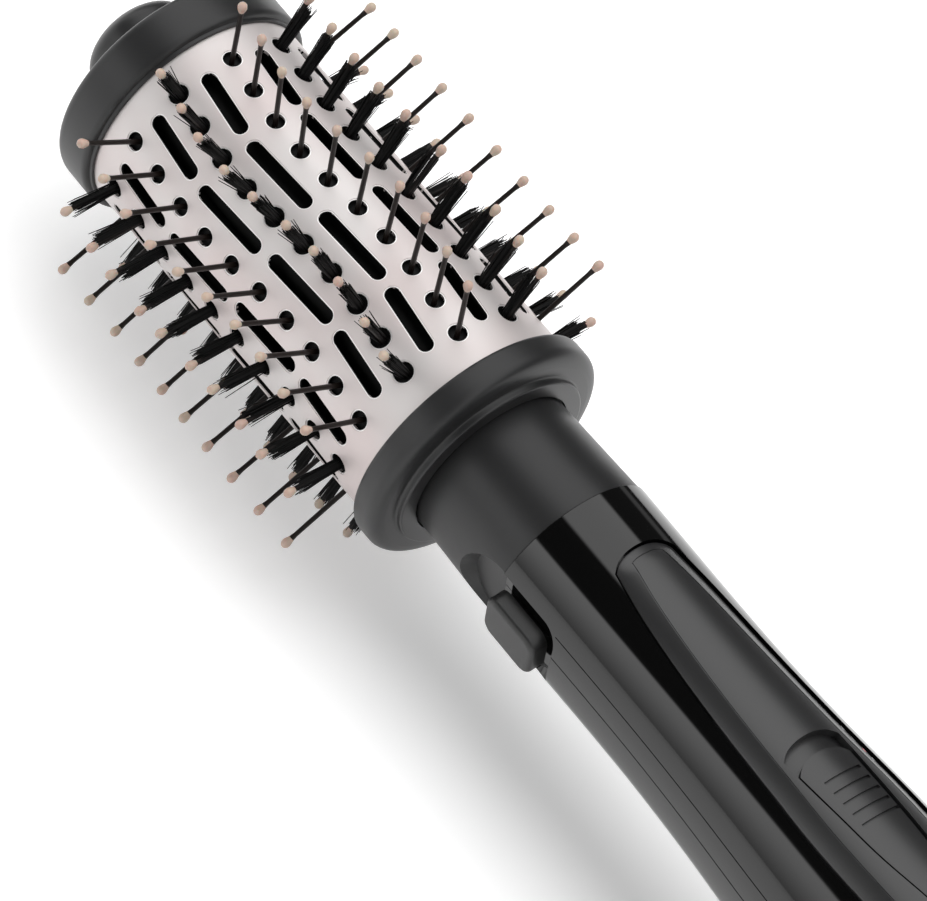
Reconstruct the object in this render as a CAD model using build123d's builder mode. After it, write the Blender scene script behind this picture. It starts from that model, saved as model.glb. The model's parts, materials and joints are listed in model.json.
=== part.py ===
from build123d import *
import math
import os

# Rotating hot air brush. X runs along the brush axis from the cord inlet to the tip, and Z is up,
# on the side of the slide switch. The origin is the middle of the cord inlet's mouth. Millimetres.

os.makedirs("parts", exist_ok=True)

# ---------------------------------------------------------------- clearances
run_clear = 0.05          # shafts and bushes that turn in each other
seat_clear = 0.10         # fixed round pieces that plug into each other
slide_clear = 0.30        # buttons and slider in their openings

# ---------------------------------------------------------------- handle
handle_back_x = 24.0
handle_front_x = 197.0
handle_stations = ((24, 19.5), (54, 20.8), (85, 21.5), (115, 20.5), (140, 19.0), (160, 18.45), (197, 18.75))
handle_wall = 3.0
collar_x = 176.0          # the housing thickens from here to its front
collar_bore_r = 13.4

# Tail cap and the cord gland that swivels in it
cap_back_x = 3.0
cap_wall = 2.4
cap_plug_length = 3.0
cap_slot_count = 16
cap_slot_width = 1.8
cap_slot_length = 11.0
gland_r = 6.5
gland_boss_r = 9.0
gland_boss_end_x = 14.0
gland_collar_r = 8.2
gland_collar_length = 2.0
cord_bore_r = 3.4

# Fan and its motor
fan_x = 28.0
fan_length = 13.0
fan_r = 15.0
fan_hub_r = 5.0
fan_blades = 8
fan_blade_thick = 1.2
fan_shaft_r = 1.0
fan_shaft_length = 10.0
fan_motor_x = 46.0
fan_motor_length = 30.0
fan_motor_r = 12.0
mount_ring_wall = 1.3
mount_vane_r = 17.2
mount_vane_thick = 2.0

# Gear motor that turns the head
gear_motor_x = 122.0
gear_motor_length = 28.0
gear_motor_r = 8.5
bulkhead_thick = 3.0
bulkhead_r = 15.3
gearbox_r = 9.0
gearbox_length = 12.0
motor_shaft_r = 1.2

# Circuit board and switch bodies
board_x0 = 84.6
board_x1 = 114.4
board_half = 14.0
board_z = -9.6
board_thick = 1.6
switch_x0 = 98.0
switch_length = 20.0
switch_half = 4.0
switch_z = 12.6
switch_height = 4.0
microswitch_length = 8.0
microswitch_half = 3.0
microswitch_in = 9.4
microswitch_out = 12.9

# Housing screws
screw_xs = (80.5, 118.5)
screw_y = 11.0
boss_r = 3.4
boss_top_z = 14.2
screw_head_r = 2.2
screw_head_length = 1.8
screw_shank_r = 1.2
screw_head_z = -12.8
screw_top_z = 10.0

# Soft panel let into the top of the housing; stations are (x, half width)
inlay_stations = ((182.9, 7.0), (172, 8.7), (158, 9.95), (133, 11.5), (115, 12.5), (85, 12.0), (54, 10.0), (36, 8.0))
inlay_front_x = 184.0
inlay_back_x = 30.0
inlay_seat_depth = 2.0
inlay_proud = 0.15
inlay_gap = 0.35
inlay_corner_r = 2.4

# Slide switch; stations are (x, half width) behind the rounded front
slider_stations = ((120, 5.8), (109, 5.1), (98, 3.6))
slider_front_x = 132.0
slider_front_half = 6.3
slider_back_x = 87.2
slider_back_half = 2.4
slider_top = 0.3          # below the housing's surface
slider_bottom = 1.6
slider_travel = 3.6
slider_window_front_x = 135.9
slider_window_gap = 0.6
groove_count = 5
groove_pitch = 2.6
groove_front_x = 126.0
groove_width = 0.7
groove_depth = 0.5
groove_half = 4.4
stem_x = 108.0
stem_length = 8.0
stem_width = 3.0

# Side buttons in their recesses, below the level of the axis on each side
button_angle = 104.0      # from the top
button_front_x = 196.4
button_length = 14.0
button_width = 11.6
button_corner_r = 2.8
button_face = 21.7        # from the axis
button_under = 16.5
button_round = 1.0
button_stem_r = 2.0
button_stem_end = 14.2
recess_floor = 15.2
recess_back_x = 181.3
recess_front_x = 205.3
recess_half = 8.6
recess_back_r = 4.0
recess_front_r = 8.2
recess_slope = 30.0

# Neck, fixed to the housing; its spigot carries the turning head
neck_back_r = 18.4
neck_front_r = 17.7
neck_front_x = 221.8
neck_bore_r = 11.8
tenon_length = 2.8
spigot_r = 15.0
spigot_end_x = 229.0
bush_r = 16.5
bush_x0 = 222.5
bush_x1 = 228.5

# ---------------------------------------------------------------- head
barrel_r = 25.0
barrel_wall = 0.8
barrel_x0 = 225.6
barrel_x1 = 322.8
row_mid_x = 274.5
row_count = 12            # tuft rows and pin rows alternate
tuft_row_angle = 39.0     # from the top, towards +Y
pin_row_angle = 9.0
hole_count = 10
hole_pitch = 8.36
pin_hole_r = 1.9
tuft_hole_r = 2.1
wave_angle = 2.5          # how far a row wanders to each side, in degrees
wave_length = 61.0
slot_width = 3.2
inner_slot_u = 10.55
inner_slot_length = 18.6
outer_slot_u = 29.9
outer_slot_length = 15.5

# Bristles
strip_width = 6.0
strip_in = 21.0
strip_out = 23.4
ring_in_r = 19.5
ring_out_r = 24.0
strip_x0 = 232.4
strip_x1 = 316.0
pin_r = 0.55
ball_r = 1.0
ball_length = 2.8
pin_ball_at = 40.5        # middle of the ball from the axis
guard_ball_at = 36.8
tuft_foot_r = 1.15
tuft_top_r = 1.5
tuft_top_at = 34.5
foot_gap = 0.09           # pins and tufts lean a little, so their feet start clear of the strip

# Rear flange: a step ring behind a rounded rim
flange_r = 27.4
flange_front_r = 26.9
flange_front_x = 228.9
flange_back_x = 222.4
step_ring_r = 21.7
step_ring_in_r = 18.1
step_ring_x = 220.9
rim_back_r = 25.1
flange_web_x = 225.5

# Tip flange and knob
tip_r = 27.0
tip_lip_x = 318.7
tip_lip_r = 25.7
tip_face_x = 329.5
tip_round = 2.0
tip_wall = 2.7
tip_shoulder_r = 22.5
hub_r = 5.0
hub_x0 = 313.0
knob_foot_r = 12.6
knob_r = 12.0
knob_crown_x = 338.6
knob_end_x = 344.6

# Drive shaft, air tube and heater
shaft_r = 2.0
shaft_x0 = 158.0
shaft_x1 = 320.0
core_r = 12.6
core_wall = 0.8
core_x0 = 205.0
core_x1 = 312.0
core_holes = 12
core_hole_r = 2.4
former_x0 = 210.0
former_x1 = 290.0
former_r = 4.2
former_bore_r = 3.0
fin_thick = 1.2
fin_r = 8.8
fin_foot_r = 11.5
fin_foot_length = 3.0
coil_in_r = 9.0
coil_wire = 0.9
coil_turns = 9
coil_pitch = 7.4
coil_x0 = 217.0

# ---------------------------------------------------------------- derived places
gearbox_x = gear_motor_x + gear_motor_length + bulkhead_thick
foot_at = strip_out + foot_gap
screw_spots = [(x, y) for x in screw_xs for y in (screw_y, -screw_y)]
button_mid_x = button_front_x - button_length / 2
barrel_seat_r = barrel_r + 0.12
core_seat_r = core_r + seat_clear
hole_us = [hole_pitch * (i - (hole_count - 1) / 2) for i in range(hole_count)]
row_step = 360.0 / row_count


def save(name, block):
    block.part.label = name
    export_step(block.part, f"parts/{name}.step")


def wave(u):
    """Degrees by which a row leaves its straight line at u from the middle of the barrel."""
    return wave_angle * math.sin(2 * math.pi * u / wave_length)


def wave_tilt(u):
    """Tilt of the row at u, in degrees."""
    slope = math.radians(wave_angle) * barrel_r * 2 * math.pi / wave_length
    return math.degrees(math.atan(slope * math.cos(2 * math.pi * u / wave_length)))


def radial(angle, x, distance=0.0):
    """Plane square to the radius at this angle from the top, towards +Y; its x runs to the tip."""
    a = math.radians(angle)
    normal = Vector(0, math.sin(a), math.cos(a))
    return Plane(origin=Vector(x, 0, 0) + normal * distance, x_dir=(1, 0, 0), z_dir=normal)


def row_planes(angle):
    return [radial(angle + wave(u), row_mid_x + u) for u in hole_us]


def tube(x0, x1, outer, inner=0.0):
    """Round sketch extruded along X; call it inside a BuildPart."""
    with BuildSketch(Plane.YZ.offset(x0)) as ring:
        Circle(outer)
        if inner > 0:
            Circle(inner, mode=Mode.SUBTRACT)
    extrude(ring.sketch, amount=x1 - x0)


def bore(x0, x1, radius):
    with BuildSketch(Plane.YZ.offset(x0)) as hole:
        Circle(radius)
    extrude(hole.sketch, amount=x1 - x0, mode=Mode.SUBTRACT)


def turned(points, mode=Mode.ADD):
    """Closed outline of (x, r) points turned about the axis; call it inside a BuildPart."""
    with BuildSketch(Plane.XZ) as profile:
        with BuildLine():
            Polyline(*points, close=True)
        make_face()
    revolve(profile.sketch, axis=Axis.X, mode=mode)


def housing(offset, mode=Mode.ADD):
    """Outer form of the handle, grown by offset; call it inside a BuildPart."""
    points = [(x, r + offset) for x, r in handle_stations]
    with BuildSketch(Plane.XZ) as profile:
        with BuildLine():
            Spline(*points)
            Polyline(points[-1], (handle_front_x, 0), (handle_back_x, 0), points[0])
        make_face()
    revolve(profile.sketch, axis=Axis.X, mode=mode)


def inlay_outline(grow):
    """Outline of the top panel seen from above; call it inside a BuildSketch."""
    left = [(x, half + grow) for x, half in inlay_stations]
    right = [(x, -y) for x, y in left]
    with BuildLine() as edge:
        Spline(*left)
        Spline(*right)
        ThreePointArc(left[0], (inlay_front_x + grow, 0), right[0])
        ThreePointArc(left[-1], (inlay_back_x - grow, 0), right[-1])
    face = make_face(edge.edges())
    fillet(face.vertices().group_by(Axis.X)[-1], inlay_corner_r)


def slider_outline(front_x, back_x, grow):
    """Tapering tongue, wide towards the tip; call it inside a BuildSketch."""
    left = [(front_x - 1.5, slider_front_half + grow)]
    left += [(x, half + grow) for x, half in slider_stations]
    left += [(back_x + 3.0, slider_back_half + grow)]
    right = [(x, -y) for x, y in left]
    with BuildLine() as edge:
        Spline(*left)
        Spline(*right)
        ThreePointArc(left[0], (front_x, 0), right[0])
        ThreePointArc(left[-1], (back_x, 0), right[-1])
    make_face(edge.edges())


# Tool that cuts one button's recess and the hole for its stem
def cut_recess(side):
    with BuildSketch(radial(side * button_angle, 0, recess_floor)) as opening:
        with Locations(((recess_back_x + recess_front_x) / 2, 0)):
            Rectangle(recess_front_x - recess_back_x, 2 * recess_half)
        ends = opening.vertices().group_by(Axis.X)
        fillet(ends[0], recess_back_r)
        ends = opening.vertices().group_by(Axis.X)
        fillet(ends[-1], recess_front_r)
    extrude(opening.sketch, amount=5.0, taper=-recess_slope, mode=Mode.SUBTRACT)
    with BuildSketch(radial(side * button_angle, button_mid_x, microswitch_in)) as hole:
        Circle(button_stem_r + slide_clear)
    extrude(hole.sketch, amount=recess_floor, mode=Mode.SUBTRACT)


# ---------------------------------------------------------------- housing
with BuildPart() as cavity:
    housing(-handle_wall)
    with BuildSketch(Plane.YZ.offset(collar_x)):
        Circle(2 * neck_back_r)
    extrude(amount=handle_front_x, mode=Mode.SUBTRACT)
    tube(collar_x, handle_front_x, collar_bore_r)

with BuildPart() as inlay_seat:
    housing(2.0)
    housing(-inlay_seat_depth, mode=Mode.SUBTRACT)
    with BuildSketch(Plane.XY):
        inlay_outline(inlay_gap)
    extrude(amount=2 * gland_r + 20, mode=Mode.INTERSECT)

with BuildPart() as upper_shell:
    housing(0)
    add(cavity.part, mode=Mode.SUBTRACT)
    with BuildSketch(Plane.XY):
        with Locations(*screw_spots):
            Circle(boss_r)
    extrude(amount=boss_top_z)
    with BuildSketch(Plane.XY):
        with Locations(*screw_spots):
            Circle(screw_shank_r + run_clear)
    extrude(amount=screw_top_z + 0.2, mode=Mode.SUBTRACT)
    add(inlay_seat.part, mode=Mode.SUBTRACT)
    with BuildSketch(Plane.XY.offset(switch_z)):
        with Locations((stem_x + slider_travel / 2, 0)):
            Rectangle(stem_length + slider_travel + 2 * slide_clear, stem_width + 2 * slide_clear)
    extrude(amount=20, mode=Mode.SUBTRACT)
    for side in (1, -1):
        cut_recess(side)
    split(bisect_by=Plane.XY, keep=Keep.TOP)
save("upper_shell", upper_shell)

with BuildPart() as lower_shell:
    housing(0)
    add(cavity.part, mode=Mode.SUBTRACT)
    with BuildSketch(Plane.XY.offset(-boss_top_z)):
        with Locations(*screw_spots):
            Circle(boss_r)
        with Locations((board_x0 + 5, 0), (board_x1 - 5, 0)):
            Circle(boss_r)
    extrude(amount=boss_top_z)
    with BuildSketch(Plane.XY.offset(-20)):
        with Locations((board_x0 + 5, 0), (board_x1 - 5, 0)):
            Circle(boss_r)
    extrude(amount=20 + board_z)
    with BuildSketch(Plane.XY.offset(board_z)):
        with Locations((board_x0 + 5, 0), (board_x1 - 5, 0)):
            Circle(boss_r + 1)
    extrude(amount=-board_z, mode=Mode.SUBTRACT)
    with BuildSketch(Plane.XY.offset(-boss_top_z)):
        with Locations(*screw_spots):
            Circle(screw_shank_r + seat_clear)
    extrude(amount=boss_top_z, mode=Mode.SUBTRACT)
    with BuildSketch(Plane.XY.offset(-24)):
        with Locations(*screw_spots):
            Circle(screw_head_r + seat_clear)
    extrude(amount=24 + screw_head_z, mode=Mode.SUBTRACT)
    for side in (1, -1):
        cut_recess(side)
    split(bisect_by=Plane.XY, keep=Keep.BOTTOM)
save("lower_shell", lower_shell)

with BuildPart() as neck_sleeve:
    turned([
        (handle_front_x, neck_bore_r), (handle_front_x, neck_back_r),
        (neck_front_x, neck_front_r), (neck_front_x, neck_bore_r),
    ])
    tube(handle_front_x - tenon_length, handle_front_x, collar_bore_r - seat_clear, neck_bore_r)
    tube(neck_front_x, spigot_end_x, spigot_r, neck_bore_r)
    bore(core_x0, spigot_end_x, core_seat_r)
    for side in (1, -1):
        cut_recess(side)
save("neck_sleeve", neck_sleeve)

with BuildPart() as grip_inlay:
    housing(inlay_proud)
    housing(-inlay_seat_depth + 0.15, mode=Mode.SUBTRACT)
    with BuildSketch(Plane.XY):
        inlay_outline(0)
    extrude(amount=30, mode=Mode.INTERSECT)
    with BuildSketch(Plane.XY):
        slider_outline(slider_window_front_x, slider_back_x - 1.2, slider_window_gap)
    extrude(amount=30, mode=Mode.SUBTRACT)
save("grip_inlay", grip_inlay)

with BuildPart() as shell_screws:
    with BuildSketch(Plane.XY.offset(screw_head_z - screw_head_length)):
        with Locations(*screw_spots):
            Circle(screw_head_r)
    extrude(amount=screw_head_length)
    with BuildSketch(Plane.XY.offset(screw_head_z)):
        with Locations(*screw_spots):
            Circle(screw_shank_r)
    extrude(amount=screw_top_z - screw_head_z)
save("shell_screws", shell_screws)

# ---------------------------------------------------------------- tail
cap_r = handle_stations[0][1]
with BuildPart() as tail_cap:
    with BuildSketch(Plane.XZ):
        with BuildLine():
            Spline((handle_back_x, cap_r), (13, cap_r - 1.2), (6, cap_r - 3.3), (cap_back_x, cap_r - 6.5))
            Polyline(
                (cap_back_x, cap_r - 6.5), (cap_back_x, gland_r + run_clear),
                (gland_boss_end_x, gland_r + run_clear), (gland_boss_end_x, gland_boss_r),
                (cap_back_x + cap_wall, gland_boss_r), (cap_back_x + cap_wall, cap_r - 7.5),
            )
            Spline(
                (cap_back_x + cap_wall, cap_r - 7.5), (8, cap_r - 5.3),
                (14, cap_r - 3.6), (handle_back_x - 2, cap_r - 3.2),
            )
            Polyline(
                (handle_back_x - 2, cap_r - 3.2), (handle_back_x - 2, cap_r - 4.8),
                (handle_back_x + cap_plug_length, cap_r - 4.8),
                (handle_back_x + cap_plug_length, cap_r - handle_wall - 0.2),
                (handle_back_x, cap_r - handle_wall - 0.2), (handle_back_x, cap_r),
            )
        make_face()
    revolve(axis=Axis.X)
    # Air slots round the side
    for i in range(cap_slot_count):
        with BuildSketch(radial(360 / cap_slot_count * (i + 0.5), 13.5, gland_boss_r + 1.5)):
            SlotOverall(cap_slot_length, cap_slot_width)
        extrude(amount=12, mode=Mode.SUBTRACT)
save("tail_cap", tail_cap)

with BuildPart() as swivel_gland:
    tube(0, gland_boss_end_x + 0.1 + gland_collar_length, gland_r)
    tube(gland_boss_end_x + 0.1, gland_boss_end_x + 0.1 + gland_collar_length, gland_collar_r)
    chamfer(swivel_gland.faces().sort_by(Axis.X)[0].edges(), 0.8)
    bore(0, 20, cord_bore_r)
save("swivel_gland", swivel_gland)

# ---------------------------------------------------------------- fan
with BuildPart() as fan_impeller:
    tube(fan_x, fan_x + fan_length, fan_hub_r)
    for i in range(fan_blades):
        with BuildSketch(radial(360 / fan_blades * i, fan_x + fan_length / 2, fan_hub_r - 1)):
            Rectangle(fan_length - 2, fan_blade_thick, rotation=32)
        extrude(amount=fan_r - fan_hub_r + 1)
    tube(fan_x + fan_length, fan_x + fan_length + fan_shaft_length, fan_shaft_r)
save("fan_impeller", fan_impeller)

with BuildPart() as fan_motor:
    tube(fan_motor_x, fan_motor_x + fan_motor_length, fan_motor_r)
    chamfer(fan_motor.edges(), 1.0)
    bore(fan_motor_x, fan_motor_x + 8, fan_shaft_r + run_clear)
save("fan_motor", fan_motor)

with BuildPart() as motor_mount:
    tube(
        fan_motor_x + 4, fan_motor_x + 24,
        fan_motor_r + seat_clear + mount_ring_wall, fan_motor_r + seat_clear,
    )
    for i in range(4):
        with BuildSketch(radial(45 + 90 * i, fan_motor_x + 10, fan_motor_r + 0.8)):
            Rectangle(8, mount_vane_thick)
        extrude(amount=mount_vane_r - fan_motor_r - 0.8)
save("motor_mount", motor_mount)

# ---------------------------------------------------------------- gear motor
with BuildPart() as gear_motor:
    tube(gear_motor_x, gear_motor_x + gear_motor_length, gear_motor_r)
    chamfer(gear_motor.edges(), 0.8)
    tube(gear_motor_x + gear_motor_length, gearbox_x, motor_shaft_r)
save("gear_motor", gear_motor)

with BuildPart() as bulkhead:
    tube(gearbox_x - bulkhead_thick, gearbox_x, bulkhead_r, motor_shaft_r + 0.4)
    with BuildSketch(Plane.YZ.offset(gearbox_x - bulkhead_thick)):
        with PolarLocations(12.0, 8):
            Circle(2.2)
    extrude(amount=bulkhead_thick, mode=Mode.SUBTRACT)
save("bulkhead", bulkhead)

with BuildPart() as gearbox:
    tube(gearbox_x, gearbox_x + gearbox_length, gearbox_r)
    chamfer(gearbox.edges(), 0.6)
    bore(shaft_x0 - 1, gearbox_x + gearbox_length, shaft_r + run_clear)
save("gearbox", gearbox)

# ---------------------------------------------------------------- electrics
with BuildPart() as circuit_board:
    with BuildSketch(Plane.XY.offset(board_z)):
        with Locations(((board_x0 + board_x1) / 2, 0)):
            Rectangle(board_x1 - board_x0, 2 * board_half)
    extrude(amount=board_thick)
    with BuildSketch(Plane.XY.offset(board_z + board_thick)):
        with Locations((92, 7)):
            Circle(4)
        with Locations((105, -6)):
            Rectangle(9, 7)
    extrude(amount=8)
save("circuit_board", circuit_board)

with BuildPart() as slide_switch_body:
    with BuildSketch(Plane.XY.offset(switch_z)):
        with Locations((switch_x0 + switch_length / 2, 0)):
            Rectangle(switch_length, 2 * switch_half)
    extrude(amount=switch_height)
save("slide_switch_body", slide_switch_body)

for side, hand in ((1, "left"), (-1, "right")):
    with BuildPart() as microswitch:
        with BuildSketch(radial(side * button_angle, button_mid_x, microswitch_in)):
            Rectangle(microswitch_length, 2 * microswitch_half)
        extrude(amount=microswitch_out - microswitch_in)
    save(f"{hand}_microswitch", microswitch)

# ---------------------------------------------------------------- slider and buttons
with BuildPart() as groove_tool:
    housing(2.0)
    housing(-slider_top - groove_depth, mode=Mode.SUBTRACT)
    with BuildSketch(Plane.XY):
        with Locations(*[(groove_front_x - groove_pitch * i, 0) for i in range(groove_count)]):
            Rectangle(groove_width, 2 * groove_half)
    extrude(amount=30, mode=Mode.INTERSECT)

with BuildPart() as slider_stem:
    with BuildSketch(Plane.XY.offset(switch_z + switch_height + slide_clear)):
        with Locations((stem_x, 0)):
            Rectangle(stem_length, stem_width)
    extrude(amount=2.6)

with BuildPart() as power_slider:
    housing(-slider_top)
    housing(-slider_bottom, mode=Mode.SUBTRACT)
    with BuildSketch(Plane.XY):
        slider_outline(slider_front_x, slider_back_x, 0)
    extrude(amount=30, mode=Mode.INTERSECT)
    add(slider_stem.part)
    add(groove_tool.part, mode=Mode.SUBTRACT)
save("power_slider", power_slider)

for side, hand in ((1, "left"), (-1, "right")):
    with BuildPart() as button:
        with BuildSketch(radial(side * button_angle, button_mid_x, button_under)):
            RectangleRounded(button_length, button_width, button_corner_r)
        extrude(amount=button_face - button_under)
        outward = radial(side * button_angle, 0).z_dir
        rim = button.faces().sort_by(Axis((0, 0, 0), (outward.X, outward.Y, outward.Z)))[-1]
        fillet(rim.edges(), button_round)
        with BuildSketch(radial(side * button_angle, button_mid_x, button_stem_end)):
            Circle(button_stem_r)
        extrude(amount=button_under - button_stem_end)
    save(f"{hand}_button", button)

# ---------------------------------------------------------------- barrel
with BuildPart() as barrel:
    tube(barrel_x0, barrel_x1, barrel_r, barrel_r - barrel_wall)
    with BuildPart(mode=Mode.PRIVATE) as punch:
        for k in range(row_count):
            tufted = k % 2 == 0
            angle = (tuft_row_angle if tufted else pin_row_angle) + 2 * row_step * (k // 2)
            radius = tuft_hole_r if tufted else pin_hole_r
            for u in hole_us:
                with BuildSketch(radial(angle + wave(u), row_mid_x + u, strip_out + 0.3)):
                    Circle(radius)
                extrude(amount=3)
            for u, length in (
                (-outer_slot_u, outer_slot_length), (-inner_slot_u, inner_slot_length),
                (inner_slot_u, inner_slot_length), (outer_slot_u, outer_slot_length),
            ):
                slot_angle = angle + row_step / 2 + wave(u)
                with BuildSketch(radial(slot_angle, row_mid_x + u, strip_out)):
                    SlotOverall(length, slot_width, rotation=wave_tilt(u))
                extrude(amount=3)
    add(punch.part, mode=Mode.SUBTRACT)
save("barrel", barrel)

with BuildPart() as rear_flange:
    with BuildSketch(Plane.XZ):
        with BuildLine():
            Polyline(
                (flange_back_x, rim_back_r - 0.6), (flange_back_x, step_ring_r),
                (step_ring_x + 0.3, step_ring_r), (step_ring_x, step_ring_r - 0.3),
                (step_ring_x, step_ring_in_r), (bush_x0, step_ring_in_r),
                (bush_x0, bush_r + seat_clear), (flange_web_x, bush_r + seat_clear),
                (flange_web_x, barrel_seat_r), (flange_front_x, barrel_seat_r),
                (flange_front_x, flange_front_r), (flange_front_x - 0.9, flange_r),
                (flange_back_x + 2.1, flange_r),
            )
            Spline(
                (flange_back_x + 2.1, flange_r), (flange_back_x + 1.1, flange_r - 0.9),
                (flange_back_x + 0.8, rim_back_r), tangents=[(-1, 0), (0, -1)],
            )
            Line((flange_back_x + 0.8, rim_back_r), (flange_back_x, rim_back_r - 0.6))
        make_face()
    revolve(axis=Axis.X)
save("rear_flange", rear_flange)

with BuildPart() as rear_bush:
    tube(bush_x0, bush_x1, bush_r, spigot_r + run_clear)
save("rear_bush", rear_bush)

with BuildPart() as tip_flange:
    with BuildSketch(Plane.XZ):
        with BuildLine():
            Polyline(
                (tip_lip_x + 1.2, tip_r - 0.6), (tip_lip_x + 0.8, tip_lip_r), (tip_lip_x, tip_lip_r),
                (tip_lip_x, barrel_seat_r), (barrel_x1 + 0.1, barrel_seat_r),
                (barrel_x1 + 0.1, tip_shoulder_r), (tip_face_x - tip_wall, tip_shoulder_r),
                (tip_face_x - tip_wall, hub_r), (hub_x0, hub_r), (hub_x0, shaft_r + 0.02),
                (shaft_x1, shaft_r + 0.02), (shaft_x1, 0), (tip_face_x, 0),
                (tip_face_x, tip_r - tip_round),
            )
            RadiusArc((tip_face_x, tip_r - tip_round), (tip_face_x - tip_round, tip_r), -tip_round)
            Line((tip_face_x - tip_round, tip_r), (tip_lip_x + 2.0, tip_r))
            Line((tip_lip_x + 2.0, tip_r), (tip_lip_x + 1.2, tip_r - 0.6))
        make_face()
    revolve(axis=Axis.X)
save("tip_flange", tip_flange)

with BuildPart() as tip_knob:
    with BuildSketch(Plane.XZ):
        with BuildLine():
            Polyline(
                (knob_crown_x, knob_r), (tip_face_x + 1.0, knob_r), (tip_face_x, knob_foot_r),
                (tip_face_x, 0), (knob_end_x, 0),
            )
            Spline((knob_crown_x, knob_r), (knob_end_x, 0), tangents=[(1, 0), (0, -1)])
        make_face()
    revolve(axis=Axis.X)
save("tip_knob", tip_knob)

with BuildPart() as rear_ring:
    tube(flange_web_x, strip_x0, ring_out_r, ring_in_r)
save("rear_ring", rear_ring)

with BuildPart() as front_ring:
    tube(strip_x1, barrel_x1 + 0.1, ring_out_r, ring_in_r)
save("front_ring", front_ring)

with BuildPart() as bristle_strips:
    with Locations(*[radial(pin_row_angle + row_step * k, 0, strip_in) for k in range(row_count)]):
        with Locations(((strip_x0 + strip_x1) / 2, 0, 0)):
            Box(
                strip_x1 - strip_x0, strip_width, strip_out - strip_in,
                align=(Align.CENTER, Align.CENTER, Align.MIN),
            )
save("bristle_strips", bristle_strips)

with BuildPart() as drive_shaft:
    tube(shaft_x0, shaft_x1, shaft_r)
save("drive_shaft", drive_shaft)


# ---------------------------------------------------------------- bristles
def ball(at):
    """Drop-shaped end of a pin, as two tapering prisms; call it inside a BuildPart."""
    with BuildSketch(Plane.XY.offset(at)) as waist:
        RegularPolygon(ball_r, 6)
    extrude(waist.sketch, amount=ball_length / 2 - 0.4, taper=32)
    extrude(waist.sketch, amount=-ball_length / 2, taper=20)


with BuildPart() as pin:
    with BuildSketch(Plane.XY.offset(foot_at)):
        RegularPolygon(pin_r, 6)
    extrude(amount=pin_ball_at - foot_at)
    ball(pin_ball_at)

tuft_flare = math.degrees(math.atan((tuft_top_r - tuft_foot_r) / (tuft_top_at - foot_at)))
with BuildPart() as tuft:
    with BuildSketch(Plane.XY.offset(foot_at)):
        RegularPolygon(tuft_foot_r, 8)
    extrude(amount=tuft_top_at - foot_at, taper=-tuft_flare)
    with BuildSketch(Plane.XY.offset(tuft_top_at)):
        RegularPolygon(pin_r, 6)
    extrude(amount=guard_ball_at - tuft_top_at)
    ball(guard_ball_at)

for k in range(row_count // 2):
    with BuildPart() as pins:
        with Locations(*row_planes(pin_row_angle + 2 * row_step * k)):
            add(pin.part)
    save(f"pins_{k + 1}", pins)
    with BuildPart() as tufts:
        with Locations(*row_planes(tuft_row_angle + 2 * row_step * k)):
            add(tuft.part)
    save(f"tufts_{k + 1}", tufts)

# ---------------------------------------------------------------- air tube and heater
with BuildPart() as core_tube:
    tube(core_x0, core_x1, core_r, core_r - core_wall)
    for k in range(8):
        for i in range(core_holes):
            if (i + k) % 3 == 0:
                with BuildSketch(radial(45 * k, 236 + 6.4 * i, core_r - 2)):
                    RegularPolygon(core_hole_r, 6)
                extrude(amount=4, mode=Mode.SUBTRACT)
save("core_tube", core_tube)

with BuildPart() as heater_former:
    tube(former_x0, former_x1, former_r)
    for i in range(4):
        with BuildSketch(radial(45 + 90 * i, (former_x0 + former_x1) / 2)):
            Rectangle(former_x1 - former_x0, fin_thick)
        extrude(amount=fin_r)
        for x in (former_x0 + fin_foot_length / 2, former_x1 - fin_foot_length / 2):
            with BuildSketch(radial(45 + 90 * i, x)):
                Rectangle(fin_foot_length, fin_thick)
            extrude(amount=fin_foot_r)
    bore(former_x0, former_x1, former_bore_r)
save("heater_former", heater_former)

with BuildPart() as heater_coil:
    for i in range(coil_turns):
        with BuildSketch(Plane.YZ.offset(coil_x0 + coil_pitch * i)):
            RegularPolygon(coil_in_r + coil_wire, 16)
            RegularPolygon(coil_in_r, 16, major_radius=False, mode=Mode.SUBTRACT)
        extrude(amount=coil_wire)
save("heater_coil", heater_coil)

with BuildPart() as thermostat:
    with BuildSketch(Plane.XY.offset(former_r + 0.1)):
        with Locations((233, 0)):
            Rectangle(9, 5)
    extrude(amount=3.6)
save("thermostat", thermostat)
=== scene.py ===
# %% [markdown]
# # A rotating hot air brush
# The brush lies along X with its tip at +X and its slide switch on top, at +Z. Pieces are
# drawn in millimetres, because that is how such a product is drawn, and `place` turns them
# into metres at the very end.

# %% Load the frame
import json
import math
import random
import bmesh
import bpy
from mathutils import Matrix, Vector


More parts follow.
